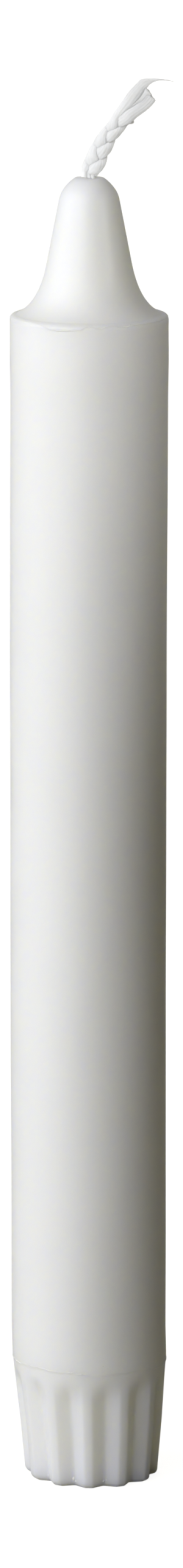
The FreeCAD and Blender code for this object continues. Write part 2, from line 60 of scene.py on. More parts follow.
CROWN_LENGTH = 19.3         # lip of the shoulder to the top of the dome
COLLAR_RISE = 0.47          # wax round the wick, above the dome
DOME_TOP = WAX_TOP - COLLAR_RISE
LIP_HEIGHT = DOME_TOP - CROWN_LENGTH
DOME_ROUND = 3.84           # radius of the dome's arc
DOME_OFFSET = 0.48          # centre of that arc from the axis
DOME_END = math.radians(66)         # where the arc ends and the collar starts, from level
PEAK_RISE = 0.48            # wax drawn up towards the wick, above the round dome
PEAK_RADIUS = 3.5           # where it starts to rise
PEAK_FADE = 1.4             # 1 for a paraboloid, more for a slower start
COLLAR_HALF_WIDTH = 0.95    # oval of wax that closes in on the wick
COLLAR_HALF_THICKNESS = 0.6
CONE_ANGLE = math.radians(10.9)
CONE_FOOT_HEIGHT = DOME_TOP - 11.95
BELL_FOOT_RADIUS = 10.2
BELL_FOOT_RISE = 0.03       # foot of the bell above the flat lip
BELL_PULL_TOP = 3.6         # how long the bell keeps the cone's slope
BELL_PULL_FOOT = 2.6        # how long it keeps its slope above the lip
BELL_FOOT_SLOPE = math.radians(25)
RIM_ROUND = 0.81
SWELL_LENGTH = 11.2         # below the lip the column swells out to the rim, most of it by NEAR_RIM_DROP
NEAR_RIM_DROP = 2.3
NEAR_RIM_SHARE = 0.8
COLUMN_TOP_RADIUS = 11.1
COLUMN_FOOT_RADIUS = 11.03

PLUG_LENGTH = 16.85
SEAM_HEIGHT = 0.4           # small slope from the plug out to the column
PLUG_TOP_RADIUS = 10.93
PLUG_FOOT_RADIUS = 9.45
FLUTE_COUNT = 12
FLUTE_CLOCK = math.radians(12.7)            # first flute from the front towards +X
FLUTE_HALF_ANGLE = math.radians(11.25)      # middle of a flute to the edge of the land beside it
FLUTE_TOP_DEPTH = 0.98
FLUTE_FOOT_DEPTH = 1.08
FLUTE_VALLEY_ROUND = 0.6
FLUTE_RUNOUT = 4.0          # height over which a flute dies out
FLUTE_TOP_GAP = 0.3         # top of a flute below the plug's top
LAND_SOFTNESS = 0.1         # wear on the edges of the lands
FOOT_ROUND_LEFT = 1.15      # the foot's edge is more worn on the left
FOOT_ROUND_RIGHT = 0.6
FOOT_HOLLOW = 0.12          # height of the dent in the middle of the underside
FOOT_HOLLOW_SHARE = 0.12    # share of the foot's radius at which its slope starts
FOOT_DISH = 0.03            # height of the slight dish round it

# Sideways drift of the wax's middle, at heights: the foot is bent a little to the right.
DRIFT_HEIGHTS = (0.0, 8.0, 14.0, 22.0, 60.0, 120.0, 160.0, 189.0)
DRIFT_ACROSS = (0.29, 0.26, 0.1, -0.09, -0.13, -0.13, 0.0, 0.0)

# Thin flake of wax pulled down over the column at the front of the shoulder. Its lower edge:
# degrees from the front towards +X, and millimetres below the lip.
FLAKE_ANGLES = (-180, -90, -60, -42, -38, -33, -29, -22, -15, -8, -5, -3, 0, 4, 8, 12, 20, 28, 33, 60, 180)
FLAKE_DROPS = (0.35, 0.4, 0.35, 0.3, 0.35, 0.6, 0.85, 0.95, 0.85, 0.78, 0.6, 0.35, 0.22, 0.4, 0.6, 0.35,
               0.3, 0.5, 0.3, 0.28, 0.35)
FLAKE_THICKNESS = 0.1
FLAKE_EDGE = 0.1            # height of the step at its edge
FLAKE_STEP_LENGTH = 0.8     # how far below the edge the column stands back by the whole thickness
FLAKE_FADE = 6.0            # height over which it then comes out again

# Where the two parts of the press met, round the candle in the same way, and above the foot
SEAM_ANGLES = (-180, -120, -79, -63, -54, -43, -31, -21, -12, -6, 0, 10, 31, 50, 68, 120, 180)
SEAM_HEIGHTS = (17.2, 17.4, 17.55, 17.55, 17.7, 17.78, 17.62, 17.57, 17.6, 17.48, 17.25, 17.3, 17.42,
                17.2, 16.95, 17.1, 17.2)

SEAM_REACH = 1.1            # how far from the seam the rings follow its line

WAVY_TOP = 165.0            # the column is wavy up to here
WAVY_FADE = 3.0
COLLAR_SLOPE = 0.03         # the collar's last ring above the end of the dome's arc
COLLAR_RAGGEDNESS = 0.12

SEGMENTS_PER_FLUTE = 32
SEGMENTS = FLUTE_COUNT * SEGMENTS_PER_FLUTE


# Sizes of the wick

ROOT_HEIGHT = WAX_TOP - 0.24
ROOT_ACROSS = -0.06
ROOT_SPREAD = 0.55          # outer strands from the middle one, where they leave the wax
PLAIT_TURNS = 1.13
PLAIT_PITCH = 8.1
PLAIT_SWING = 0.66          # sideways swing of a strand
PLAIT_LIFT = 0.16           # front to back swing of a strand
CROSSING_SHIFT = -0.18      # the strands cross left of the middle
PLAIT_CLOCK = math.radians(18)      # the flat plait is turned a little, so its right side shows
# Girth of the plait along it, 1 where it is fullest but one
GIRTH_ALONG = (0.0, 1.2, 2.6, 4.5, 6.0, 7.6, 9.0, 9.7, 18.0)
GIRTHS = (0.95, 1.0, 1.03, 0.97, 0.9, 0.83, 0.9, 0.95, 1.0)
STRAND_HALF_WIDTH = 1.1     # where strands cross
STRAND_HALF_THICKNESS = 0.3
FOLD_HALF_WIDTH = 0.9       # where a strand folds back at the edge
FOLD_HALF_THICKNESS = 0.38
CROSSING_ROLL = math.radians(12)    # roll of a strand in the middle of the plait
OUTER_ROLL = math.radians(9)        # and on its way to the edge
OUTER_ROLL_GAIN = 2.6       # cosine times sine squared is at most 1 / 2.6
LAY_PITCH = 0.74            # from strand to strand in the wax
BURIED_RADIUS = 0.34        # a strand in the wax
BURIED_SIDES = 16
ROOT_DEPTHS = (0.6, 0.45, 0.3, 0.15)        # rings by which the plaited part goes on into the wax
BURIED_TOP = ROOT_HEIGHT - ROOT_DEPTHS[0] - 0.02
LAY_RADIUS = 0.56           # a strand where it leaves the wax
NECK_LENGTH = 0.5           # over which the strands come together into the plait, and part again
STRAND_SWELL_LENGTH = 1.1   # over which a strand takes on its full section
PLAITED_LENGTH = PLAIT_TURNS * PLAIT_PITCH + NECK_LENGTH
ROOT_LEAN = 25.0            # degrees from upright, to the right, where the wick leaves the wax
TIP_LEAN = 37.6             # and from the second bend on
ROOT_BEND = 0.25            # length of the first bend
BEND_START = 3.6
BEND_LENGTH = 3.7
AXIS_STEP = 0.05
AXIS_LENGTH = 18.0          # a little more than the wick's
KNUCKLE_ALONG = 9.8         # one strand bulges out here, at the right edge
KNUCKLE_LENGTH = 0.5
FAN_HALF_THICKNESS = 0.16   # of a strand in the spread end
FLATTENING = 0.9            # 0 for an oval section, more for a lens with thin edges
FAN_FLATTENING = 0.4
FAN_LEAD = 0.5              # how far below the end of the plait the strands begin to part
FAN_SHARE = 0.95            # share of a strand's end over which it takes its place in the fan

SKIN_STEP = 0.11
SKIN_SIDES = 90
THREAD_COUNT = 13
THREAD_DEPTH = 0.035
THREAD_TWIST = 0.054        # turns per millimetre round the strand
CUT_ROUND = 0.3             # roundness of a cut end
CUT_FADE = 1.6              # length over which a cut end slants and frays
FIBRES_OVERLAP = 0.9        # the leaf of long fibres takes over this far below the left strand's end
FIBRES_STEP = 0.12          # about the distance between two rings of that leaf


def eased(share):
    share = np.clip(share, 0.0, 1.0)
    return share * share * (3 - 2 * share)


def mix(first, second, share):
    return first + (second - first) * share


def blunt_minimum(first, second, softness):
    """Smaller of two values, with the corner where they meet rounded."""
    share = np.clip(0.5 + 0.5 * (second - first) / softness, 0.0, 1.0)
    return mix(second, first, share) - softness * share * (1 - share)


# Meshes

def new_piece(name, skin, material):
    """Mesh in millimetres that belongs to the candle."""
    mesh = bpy.data.meshes.new(name)
    mesh.from_pydata([tuple(float(value) * MM for value in vertex) for vertex in skin.vertices], [],
                     skin.faces)
    if skin.lay:
        lay = mesh.attributes.new("lay", "FLOAT_VECTOR", "POINT")
        lay.data.foreach_set("vector", np.array(skin.lay, float).ravel())
    for polygon in mesh.polygons:
        polygon.use_smooth = True
    mesh.materials.append(material)
    piece = bpy.data.objects.new(name, mesh)
    bpy.context.scene.collection.objects.link(piece)
    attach(piece, "root")
    return piece


class Skin:
    """Vertices and faces gathered from rings of points."""

    def __init__(self):
        self.vertices = []
        self.faces = []
        self.lay = []

    def add_rings(self, rings, lay=None):
        """Tube through rings of equally many points, with its ends closed."""
        first = len(self.vertices)
        sides = len(rings[0])
        for ring in rings:
            self.vertices.extend(ring)
        if lay is not None:
            self.lay.extend(lay)
        for row in range(len(rings) - 1):
            low = first + row * sides
            high = low + sides
            for side in range(sides):
                after = (side + 1) % sides
                self.faces.append((low + side, low + after, high + after, high + side))
        last = first + (len(rings) - 1) * sides
        self.faces.append(tuple(first + side for side in reversed(range(sides))))
        self.faces.append(tuple(last + side for side in range(sides)))


def bezier(start, start_pull, end_pull, end, count):
    share = np.linspace(0, 1, count)[:, None]
    points = [np.array(point, float) for point in (start, start_pull, end_pull, end)]
    return (points[0] * (1 - share) ** 3 + 3 * points[1] * share * (1 - share) ** 2
            + 3 * points[2] * share ** 2 * (1 - share) + points[3] * share ** 3)


def arc(centre, radius, first, last, count):
    angle = np.linspace(first, last, count)
    return np.stack([centre[0] + radius * np.cos(angle), centre[1] + radius * np.sin(angle)], 1)


def straight(start, end, count):
    share = np.linspace(0, 1, count)[:, None]
    return np.array(start) * (1 - share) + np.array(end) * share


# Wax

def from_front(angle):
    """Degrees from the front towards +X of an angle that starts at +X."""
    return np.degrees((angle + 1.5 * HALF_TURN) % FULL_TURN - HALF_TURN)


def seam_height(angle):
    """Height of the seam, with a fine raggedness."""
    return (np.interp(from_front(angle), SEAM_ANGLES, SEAM_HEIGHTS)
            + 0.03 * np.sin(19 * angle) + 0.025 * np.sin(43 * angle + 1))


def shoulder_relief(angle, height):
    """How far the column stands back under the edge of the flake."""
    edge = (np.interp(from_front(angle), FLAKE_ANGLES, FLAKE_DROPS) + 0.035 * np.sin(37 * angle)
            + 0.03 * np.sin(61 * angle + 1) + 0.02 * np.sin(97 * angle))
    below = LIP_HEIGHT - height - edge
    fading = eased((below - FLAKE_STEP_LENGTH) / FLAKE_FADE)
    return -FLAKE_THICKNESS * eased(below / FLAKE_EDGE + 0.5) * (1 - fading)


def crown_outline():
    """Radius and height from the column's swell up to the collar, as one curve."""
    swell_foot = (COLUMN_TOP_RADIUS, LIP_HEIGHT - SWELL_LENGTH)
    near_rim = (mix(COLUMN_TOP_RADIUS, RIM_RADIUS, NEAR_RIM_SHARE), LIP_HEIGHT - NEAR_RIM_DROP)
    rim_side = (RIM_RADIUS, LIP_HEIGHT - RIM_ROUND)
    rim_centre = (RIM_RADIUS - RIM_ROUND, LIP_HEIGHT - RIM_ROUND)
    outward = (math.cos(CONE_ANGLE), math.sin(CONE_ANGLE))
    dome_centre = (DOME_OFFSET, DOME_TOP - DOME_ROUND)
    cone_top = (dome_centre[0] + DOME_ROUND * outward[0], dome_centre[1] + DOME_ROUND * outward[1])
    cone_foot = (cone_top[0] + (cone_top[1] - CONE_FOOT_HEIGHT) * math.tan(CONE_ANGLE), CONE_FOOT_HEIGHT)
    bell_foot = (BELL_FOOT_RADIUS, LIP_HEIGHT + BELL_FOOT_RISE)
    foot_pull = (bell_foot[0] - BELL_PULL_FOOT * math.cos(BELL_FOOT_SLOPE),
                 bell_foot[1] + BELL_PULL_FOOT * math.sin(BELL_FOOT_SLOPE))
    top_pull = (cone_foot[0] + BELL_PULL_TOP * math.sin(CONE_ANGLE),
                cone_foot[1] - BELL_PULL_TOP * math.cos(CONE_ANGLE))
    return np.concatenate([
        straight(swell_foot, near_rim, 10),
        straight(near_rim, rim_side, 24)[1:],
        arc(rim_centre, RIM_ROUND, 0, HALF_TURN / 2, 10)[1:],
        straight((rim_centre[0], LIP_HEIGHT), bell_foot, 6)[1:],
        bezier(bell_foot, foot_pull, top_pull, cone_foot, 30)[1:],
        straight(cone_foot, cone_top, 16)[1:],
        arc(dome_centre, DOME_ROUND, CONE_ANGLE, DOME_END, 20)[1:],
    ])


def crown_peak(radius, height):
    """How far the wax round the wick rises above the round dome."""
    if height < CONE_FOOT_HEIGHT:
        return 0.0
    return PEAK_RISE * max(1 - (radius / PEAK_RADIUS) ** 2, 0) ** PEAK_FADE


def flute_radius(angle, radius, depth, share):
    """Radius of the fluted plug at an angle, where the V-shaped flutes are cut to a share of their depth."""
    spacing = FULL_TURN / FLUTE_COUNT
    # The first flute is clocked from the front, which is -Y.
    local = np.abs((angle + HALF_TURN / 2 - FLUTE_CLOCK + spacing / 2) % spacing - spacing / 2)
    centre = radius - depth + FLUTE_VALLEY_ROUND
    edge_across = radius * math.cos(FLUTE_HALF_ANGLE) - centre
    edge_side = radius * math.sin(FLUTE_HALF_ANGLE)
    turn = (np.arctan2(edge_side, edge_across)
            + np.arccos(FLUTE_VALLEY_ROUND / np.hypot(edge_side, edge_across)))
    side = (FLUTE_VALLEY_ROUND + centre * np.cos(turn)) / np.cos(local - turn)
    touch = np.arctan2(FLUTE_VALLEY_ROUND * np.sin(turn), centre + FLUTE_VALLEY_ROUND * np.cos(turn))
    inside = np.maximum(FLUTE_VALLEY_ROUND ** 2 - (centre * np.sin(local)) ** 2, 0.0)
    valley = centre * np.cos(local) - np.sqrt(inside)
    cut = np.where(local < touch, valley, side)
    return mix(radius, blunt_minimum(radius, cut, LAND_SOFTNESS), share)


def plug_rings(angle):
    """Radius and height of each ring of the plug, from the foot's edge up to the seam."""
    foot_round = mix(FOOT_ROUND_LEFT, FOOT_ROUND_RIGHT, 0.5 + 0.5 * np.cos(angle))
    slope = (PLUG_TOP_RADIUS - PLUG_FOOT_RADIUS) / PLUG_LENGTH
    flute_top = PLUG_LENGTH - FLUTE_TOP_GAP
    flute_full = flute_top - FLUTE_RUNOUT
    edge_turns = np.radians(np.linspace(0, 90, 9))
    levels = [(foot_round * (1 - math.cos(turn)), foot_round * (1 - math.sin(turn))) for turn in edge_turns]
    # The rings lie closer together where the flutes die out.
    shares = np.concatenate([np.linspace(0, 0.82, 26)[1:], np.linspace(0.82, 1, 24)[1:]])
    levels += [(mix(foot_round, PLUG_LENGTH, share), 0 * angle) for share in shares]
    rings = []
    for height, inset in levels:
        depth = mix(FLUTE_FOOT_DEPTH, FLUTE_TOP_DEPTH, height / PLUG_LENGTH)
        fading = eased((height - flute_full) / FLUTE_RUNOUT)
        radius = PLUG_FOOT_RADIUS + slope * height
        rings.append((flute_radius(angle, radius, depth, 1 - fading) - inset, height))
    return rings


def wax_middle(height):
    """Where the middle of the wax lies across, at a height."""
    return np.interp(height, DRIFT_HEIGHTS, DRIFT_ACROSS)


def unevenness(angle, height):
    """Slight waviness of pressed wax."""
    return (0.012 * np.sin(3 * angle + height / 17) + 0.009 * np.sin(5 * angle - height / 9.1)
            + 0.006 * np.sin(2 * angle + height / 4.3))


def wax_skin(material):
    """The whole wax as one closed skin: foot, fluted plug, column, crown and the collar round the wick."""
    angle = np.linspace(0, FULL_TURN, SEGMENTS, endpoint=False)
    rings = plug_rings(angle)
    column_foot = PLUG_LENGTH + SEAM_HEIGHT
    for share in np.linspace(0, 1, 6)[1:]:
        rings.append((mix(PLUG_TOP_RADIUS, COLUMN_FOOT_RADIUS, eased(share)) + 0 * angle,
                      PLUG_LENGTH + SEAM_HEIGHT * share))
    swell_foot = LIP_HEIGHT - SWELL_LENGTH
    for share in np.linspace(0, 1, 70)[1:-1] ** 1.2:
        rings.append((mix(COLUMN_FOOT_RADIUS, COLUMN_TOP_RADIUS, share) + 0 * angle,
                      mix(column_foot, swell_foot, share)))
    for radius, height in crown_outline():
        rings.append((radius + 0 * angle, height + crown_peak(radius, height)))

    points = []
    for radius, height in rings:
        height = height + 0 * angle
        wavy = eased(height / WAVY_FADE) * (1 - eased((height - WAVY_TOP) / WAVY_FADE))
        radius = radius + unevenness(angle, height) * wavy
        radius = radius + shoulder_relief(angle, height)
        near_seam = np.exp(-((height - PLUG_LENGTH - SEAM_HEIGHT) / SEAM_REACH) ** 2)
        height = height + near_seam * (seam_height(angle) - PLUG_LENGTH - SEAM_HEIGHT)
        middle = wax_middle(height)
        points.append(np.stack([middle + radius * np.cos(angle), radius * np.sin(angle), height], 1))

    # The wax creeps up to the flat wick, so the last rings narrow to an oval.
    last_radius, last_height = rings[-1]
    for share in np.linspace(0, 1, 12)[1:]:
        narrow = share ** 0.7
        across = mix(last_radius, COLLAR_HALF_WIDTH, narrow)
        behind = mix(last_radius, COLLAR_HALF_THICKNESS, narrow)
        height = last_height + COLLAR_SLOPE * share
        lean = ROOT_ACROSS * share
        points.append(np.stack([lean + across * np.cos(angle), behind * np.sin(angle),
                                height + COLLAR_RAGGEDNESS * share * np.sin(2 * angle + 0.6)], 1))

    skin = Skin()
    foot = points[0]
    foot_middle = foot.mean(0)
    underside = []
    for share in (FOOT_HOLLOW_SHARE, 0.2, 0.55, 0.9, 0.985):
        ring = foot_middle + (foot - foot_middle) * share
        slope = eased((share - FOOT_HOLLOW_SHARE) / 0.1)
        ring[:, 2] = FOOT_HOLLOW * (1 - slope) + FOOT_DISH * (1 - share)
        underside.append(ring)
    skin.add_rings([ring.tolist() for ring in underside + points])
    return new_piece("wax_skin", skin, material)


# Wick

def wick_lean(along):
    """Angle of the wick from upright, at a place along it."""
    root = ROOT_LEAN * eased(along / ROOT_BEND)
    return np.radians(mix(root, TIP_LEAN, eased((along - BEND_START) / BEND_LENGTH)))


AXIS_ALONG = np.arange(0, AXIS_LENGTH, AXIS_STEP)
AXIS_LEAN = wick_lean(AXIS_ALONG + AXIS_STEP / 2)
AXIS_ACROSS = np.concatenate([[0], np.cumsum(np.sin(AXIS_LEAN) * AXIS_STEP)])[:-1]
AXIS_UP = np.concatenate([[0], np.cumsum(np.cos(AXIS_LEAN) * AXIS_STEP)])[:-1]


def place(along, across, behind):
    """Point at a place measured along the wick, across it and behind it."""
    lean = wick_lean(along)
    return np.stack([
        ROOT_ACROSS + np.interp(along, AXIS_ALONG, AXIS_ACROSS) + across * np.cos(lean),
        behind + 0 * lean,
        ROOT_HEIGHT + np.interp(along, AXIS_ALONG, AXIS_UP) - across * np.sin(lean),
    ], -1)


def plait_advance(along):
    """Angle by which the plait has gone on at a place along it, with a soft start and end."""
    along = np.minimum(along, PLAITED_LENGTH)
    opening = along ** 2 / (2 * NECK_LENGTH)
    closing = PLAITED_LENGTH - NECK_LENGTH - (PLAITED_LENGTH - along) ** 2 / (2 * NECK_LENGTH)
    run = np.where(along < NECK_LENGTH, opening,
                   np.where(along > PLAITED_LENGTH - NECK_LENGTH, closing, along - NECK_LENGTH / 2))
    return FULL_TURN * run / PLAIT_PITCH


def strand_sections(strand, along):
    """Place, half width, half thickness and roll of a strand along the wick."""
    turn = strand["phase"] + plait_advance(along)
    sine, cosine = np.sin(turn), np.cos(turn)
    girth = np.interp(along, GIRTH_ALONG, GIRTHS)
    opening = eased(along / NECK_LENGTH)
    swelling = eased(along / STRAND_SWELL_LENGTH)
    fanning = eased((along - PLAITED_LENGTH + FAN_LEAD) / (FAN_SHARE * strand["end_along"]))
    clock = PLAIT_CLOCK * opening
    swing = girth * (PLAIT_SWING * sine + CROSSING_SHIFT * cosine ** 4)
    lift = -PLAIT_LIFT * np.sin(2 * turn)
    across = mix(strand["spread"], swing * np.cos(clock) + lift * np.sin(clock), opening)
    behind = mix(0.0, lift * np.cos(clock) - swing * np.sin(clock), opening)
    half_width = girth * mix(FOLD_HALF_WIDTH, STRAND_HALF_WIDTH, cosine ** 2)
    half_thickness = mix(FOLD_HALF_THICKNESS, STRAND_HALF_THICKNESS, cosine ** 2)
    roll = cosine * (OUTER_ROLL_GAIN * OUTER_ROLL * sine ** 2 - CROSSING_ROLL * cosine ** 2) - clock
    knuckle = strand["knuckle"] * np.exp(-((along - KNUCKLE_ALONG) / KNUCKLE_LENGTH) ** 2)
    return (mix(across, strand["end_across"], fanning) + knuckle,
            mix(behind, strand["end_behind"], fanning),
            mix(mix(LAY_RADIUS, half_width, swelling), strand["end_width"] / 2, fanning),
            mix(mix(LAY_RADIUS, half_thickness, swelling), FAN_HALF_THICKNESS, fanning),
            mix(roll * opening, 0.0, fanning))


def smooth_through(points, count):
    """Points of a smooth curve through given points, count of them between each two."""
    points = np.array(points, float)
    padded = np.concatenate([2 * points[:1] - points[1:2], points, 2 * points[-1:] - points[-2:-1]])
    curve = []
    for index in range(len(points) - 1):
        before, start, end, after = padded[index:index + 4]
        for share in np.arange(count) / count:
            curve.append(0.5 * (2 * start + (end - before) * share
                                + (2 * before - 5 * start + 4 * end - after) * share ** 2
                                + (3 * start - before - 3 * end + after) * share ** 3))
    return np.array(curve + [points[-1]])


# Upper and lower edge of the left strand's long fibres: millimetres across and up from its cut end
WISP_TOP = ((-0.35, 0.78), (0.02, 1.16), (0.5, 1.3), (1.55, 1.34), (3.0, 1.28), (4.05, 1.11), (4.94, 0.88))
WISP_UNDER = ((0.85, -0.2), (1.1, 0.1), (1.4, 0.45), (2.0, 0.84), (3.0, 1.06), (4.05, 0.98), (4.94, 0.84))
WISP_HALF_THICKNESS = (0.13, 0.13, 0.12, 0.09, 0.06, 0.045, 0.035)
WISP_STEPS = 7


def thread_relief(turn, along, phase):
    """Rounded ridges of the yarn's threads, a little uneven; 0 on a ridge and negative in a groove."""
    ridge = np.abs(np.cos(THREAD_COUNT * turn / 2)) ** 0.8
    uneven = 1 + 0.35 * np.sin(3 * turn + phase + along / 0.9) + 0.25 * np.sin(7 * turn - along / 0.7)
    return THREAD_DEPTH * uneven * (ridge - 1)


def strand_skin(strand, material):
    """One strand of the plait with the threads of its yarn, cut off unevenly at the fan."""
    length = PLAITED_LENGTH + strand["end_along"]
    along = np.linspace(0, length, round(length / SKIN_STEP) + 1)
    across, behind, half_width, half_thickness, roll = (
        value[:, None] for value in strand_sections(strand, along))
    along = along[:, None]
    angle = np.linspace(0, FULL_TURN, SKIN_SIDES, endpoint=False)[None, :]
    turn = angle + FULL_TURN * THREAD_TWIST * np.minimum(along, PLAITED_LENGTH)
    relief = thread_relief(turn, along, strand["phase"])
    closing = 1.0 if strand["wisp"] else np.sqrt(1 - (1 - np.clip((length - along) / CUT_ROUND, 0, 1)) ** 2)
    flat = (half_width + relief) * np.cos(angle) * closing
    flattening = mix(FLATTENING, FAN_FLATTENING, eased((along - PLAITED_LENGTH + 1) / 2))
    lens = np.sin(angle) * np.abs(np.sin(angle)) ** flattening
    thick = (half_thickness + relief) * lens * closing
    # The cut end: slanting, and some threads longer than others
    near_end = eased((along - length + CUT_FADE) / CUT_FADE)
    bite = 0.5 + 0.3 * np.sin(4 * angle + strand["phase"]) + 0.2 * np.sin(9 * angle + 2)
    if not strand["wisp"]:
        along = along - near_end * (strand["ragged"] * bite + strand["slant"] * np.cos(angle) * closing)
    rings = place(along, across + flat * np.cos(roll) - thick * np.sin(roll),
                  behind + flat * np.sin(roll) + thick * np.cos(roll))
    # The strand goes on a little way into the wax
    rings = np.concatenate([rings[:1] - (0.0, 0.0, depth) for depth in ROOT_DEPTHS] + [rings])
    along = np.concatenate([along[:1]] * len(ROOT_DEPTHS) + [along])
    turn = np.concatenate([turn[:1]] * len(ROOT_DEPTHS) + [turn])
    lay = np.stack([along + 0 * angle, 0.5 * np.cos(turn), 0.5 * np.sin(turn)], -1)

    if strand["wisp"]:
        end = place(np.array([length]), np.array([strand["end_across"]]), 0.0)[0]
        top = smooth_through(WISP_TOP, WISP_STEPS)
        under = smooth_through(WISP_UNDER, WISP_STEPS)
        stations = np.arange(len(WISP_TOP)) * WISP_STEPS
        half_thickness = np.interp(np.arange(len(top)), stations, WISP_HALF_THICKNESS)[:, None]
        turn = angle + FULL_TURN * THREAD_TWIST * PLAITED_LENGTH + 0 * half_thickness
        run = length + FIBRES_STEP * np.arange(len(top))[:, None]
        slim = half_thickness / FAN_HALF_THICKNESS
        edge = np.cos(angle)
        sideways = (under - top)[:, None, :] / 2 * edge[:, :, None]
        middle = (under + top)[:, None, :] / 2 + sideways
        depth = (half_thickness + thread_relief(turn, run, strand["phase"]) * slim) * lens[-1:]
        leaf = np.stack([end[0] + middle[:, :, 0], depth, end[2] + middle[:, :, 1]], -1)
        keep = len(ROOT_DEPTHS) + round((length - FIBRES_OVERLAP) / SKIN_STEP)
        rings = np.concatenate([rings[:keep], leaf])
        leaf_lay = np.stack([run + 0 * angle, 0.5 * np.cos(turn), 0.5 * np.sin(turn)], -1)
        lay = np.concatenate([lay[:keep], leaf_lay])

    skin = Skin()
    skin.add_rings([ring.tolist() for ring in rings], lay=lay.reshape(-1, 3).tolist())
    # Straight run inside the wax, down to the foot
    sides = np.linspace(0, FULL_TURN, BURIED_SIDES, endpoint=False)
    outline = BURIED_RADIUS * np.stack([np.cos(sides), np.sin(sides), 0 * sides], 1) + (strand["lay"], 0, 0)
    buried = [outline + (0.0, 0.0, height) for height in np.linspace(0.02, BURIED_TOP, 12)]
    skin.add_rings([ring.tolist() for ring in buried], lay=np.concatenate(buried).tolist())
    piece = new_piece(strand["name"].replace("wick_strand", "cotton_strand"), skin, material)
    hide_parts(strand["name"])
    return piece


THIRD = FULL_TURN / 3
# Phase in the plait, place in the wax and where it leaves the wax, then the cut end: length past the
# plait, place across and behind, width, fraying, slant, bulge at the right edge, and long fibres or none
STRANDS = (
    {"name": "wick_strand_left", "phase": -THIRD, "lay": 0.0, "spread": -ROOT_SPREAD,
     "end_along": 4.6, "end_across": -0.64, "end_behind": -0.05, "end_width": 1.9,
     "ragged": 0.0, "slant": 0.0, "knuckle": 0.0, "wisp": True},
    {"name": "wick_strand_middle", "phase": THIRD, "lay": -LAY_PITCH, "spread": ROOT_SPREAD,
     "end_along": 5.15, "end_across": 0.59, "end_behind": 0.05, "end_width": 1.9,
     "ragged": 0.1, "slant": 0.2, "knuckle": 0.65, "wisp": False},
    {"name": "wick_strand_right", "phase": 0.0, "lay": LAY_PITCH, "spread": 0.05,
     "end_along": 4.75, "end_across": 1.41, "end_behind": -0.05, "end_width": 1.6,
     "ragged": 0.06, "slant": -0.05, "knuckle": 0.12, "wisp": False},
)


# Flash and crumbs left by the press

RIDGE_STEP = 0.3            # degrees between two rings of a ridge
RIDGE_ROOT = 0.15           # how deep its root lies in the wax


def add_ridge(skin, degrees, heights, radii, stands):
    """Ragged ridge of torn wax along a line round the candle; stands says how far it may stand out."""
    rings = []
    for bearing, height, radius, stand in zip(np.radians(degrees), heights, radii, stands):
        middle = wax_middle(height)
        stand = max(stand * draw.uniform(0.5, 1.2), 0.0)
        half = 0.05 + 0.5 * stand
        height = height + draw.uniform(-0.02, 0.02)
        outline = ((-RIDGE_ROOT, -half), (stand, -0.4 * half), (stand, 0.4 * half), (-RIDGE_ROOT, half))
        rings.append([(middle + (radius + out) * math.sin(bearing), -(radius + out) * math.cos(bearing),
                       height + level) for out, level in outline])
    skin.add_rings(rings)


# How far the torn wax stands out along the seam and along the shoulder, by degrees from the front
SEAM_FLASH_ANGLES = (-180, -80, -66, -58, -50, -43, -36, -28, -22, -14, -6, -2, 2, 30, 44, 60, 72, 180)
SEAM_FLASH = (0.02, 0.03, 0.06, 0.03, 0.11, 0.05, 0.12, 0.08, 0.1, 0.12, 0.1, 0.07, 0.0, 0.0, 0.03, 0.02,
              0.03, 0.02)
SHOULDER_FLASH_ANGLES = (-45, -38, -30, -20, -8, -4, -1, 3, 6, 9, 13, 16, 21, 24, 30, 34, 42, 55, 70, 80)
SHOULDER_FLASH = (0.0, 0.03, 0.05, 0.05, 0.05, 0.03, 0.06, 0.02, 0.05, 0.02, 0.09, 0.03, 0.1, 0.04, 0.12,
                  0.05, 0.06, 0.04, 0.05, 0.0)


def rim_radius(drop):
    """Radius of the round lip of the shoulder, at a drop below its top."""
    return RIM_RADIUS - RIM_ROUND + np.sqrt(RIM_ROUND ** 2 - (RIM_ROUND - np.minimum(drop, RIM_ROUND)) ** 2)


def press_flash(material):
    """Thin ragged ridges of wax, where the two parts of the press met and along the lip of the shoulder."""
    skin = Skin()
    degrees = np.arange(-180, 180.01, RIDGE_STEP)
    stands = np.interp(degrees, SEAM_FLASH_ANGLES, SEAM_FLASH) * (0.8 + 0.4 * np.sin(degrees / 1.3))
    add_ridge(skin, degrees, seam_height(np.radians(degrees) - HALF_TURN / 2),
              COLUMN_FOOT_RADIUS + 0 * degrees, stands)
    degrees = np.arange(SHOULDER_FLASH_ANGLES[0], SHOULDER_FLASH_ANGLES[-1] + 0.01, RIDGE_STEP)
    drops = np.interp(degrees, FLAKE_ANGLES, FLAKE_DROPS)
    stands = np.interp(degrees, SHOULDER_FLASH_ANGLES, SHOULDER_FLASH)
    add_ridge(skin, degrees, LIP_HEIGHT - drops, rim_radius(drops), stands)
    return new_piece("press_flash", skin, material)


# Crumbs of broken wax: degrees from the front, height, size, and how much taller than wide
CRUMBS = (
    (7.0, 168.15, 0.08, 1.0), (14.5, 168.3, 0.1, 1.0), (21.5, 168.2, 0.12, 1.0), (29.0, 168.05, 0.13, 1.0),
    (31.5, 168.35, 0.08, 1.0), (8.6, 18.35, 0.07, 1.0), (10.2, 18.6, 0.06, 1.0), (12.4, 18.55, 0.08, 1.0),
    (13.6, 18.2, 0.07, 1.0), (11.2, 17.95, 0.06, 1.0),
)
# Frosty chips near the foot, low in the flutes
CHIPS = (
    (-17.0, 1.3, 0.2, 2.6), (-14.6, 0.9, 0.13, 1.8), (11.6, 0.9, 0.2, 1.5), (14.8, 1.15, 0.14, 2.0),
    (-46.0, 1.1, 0.14, 2.2),
)


CRUMB_LEVELS = 5
CRUMB_SIDES = 9
CHIP_SUNK = 0.4             # share of its size by which a chip lies in the wax


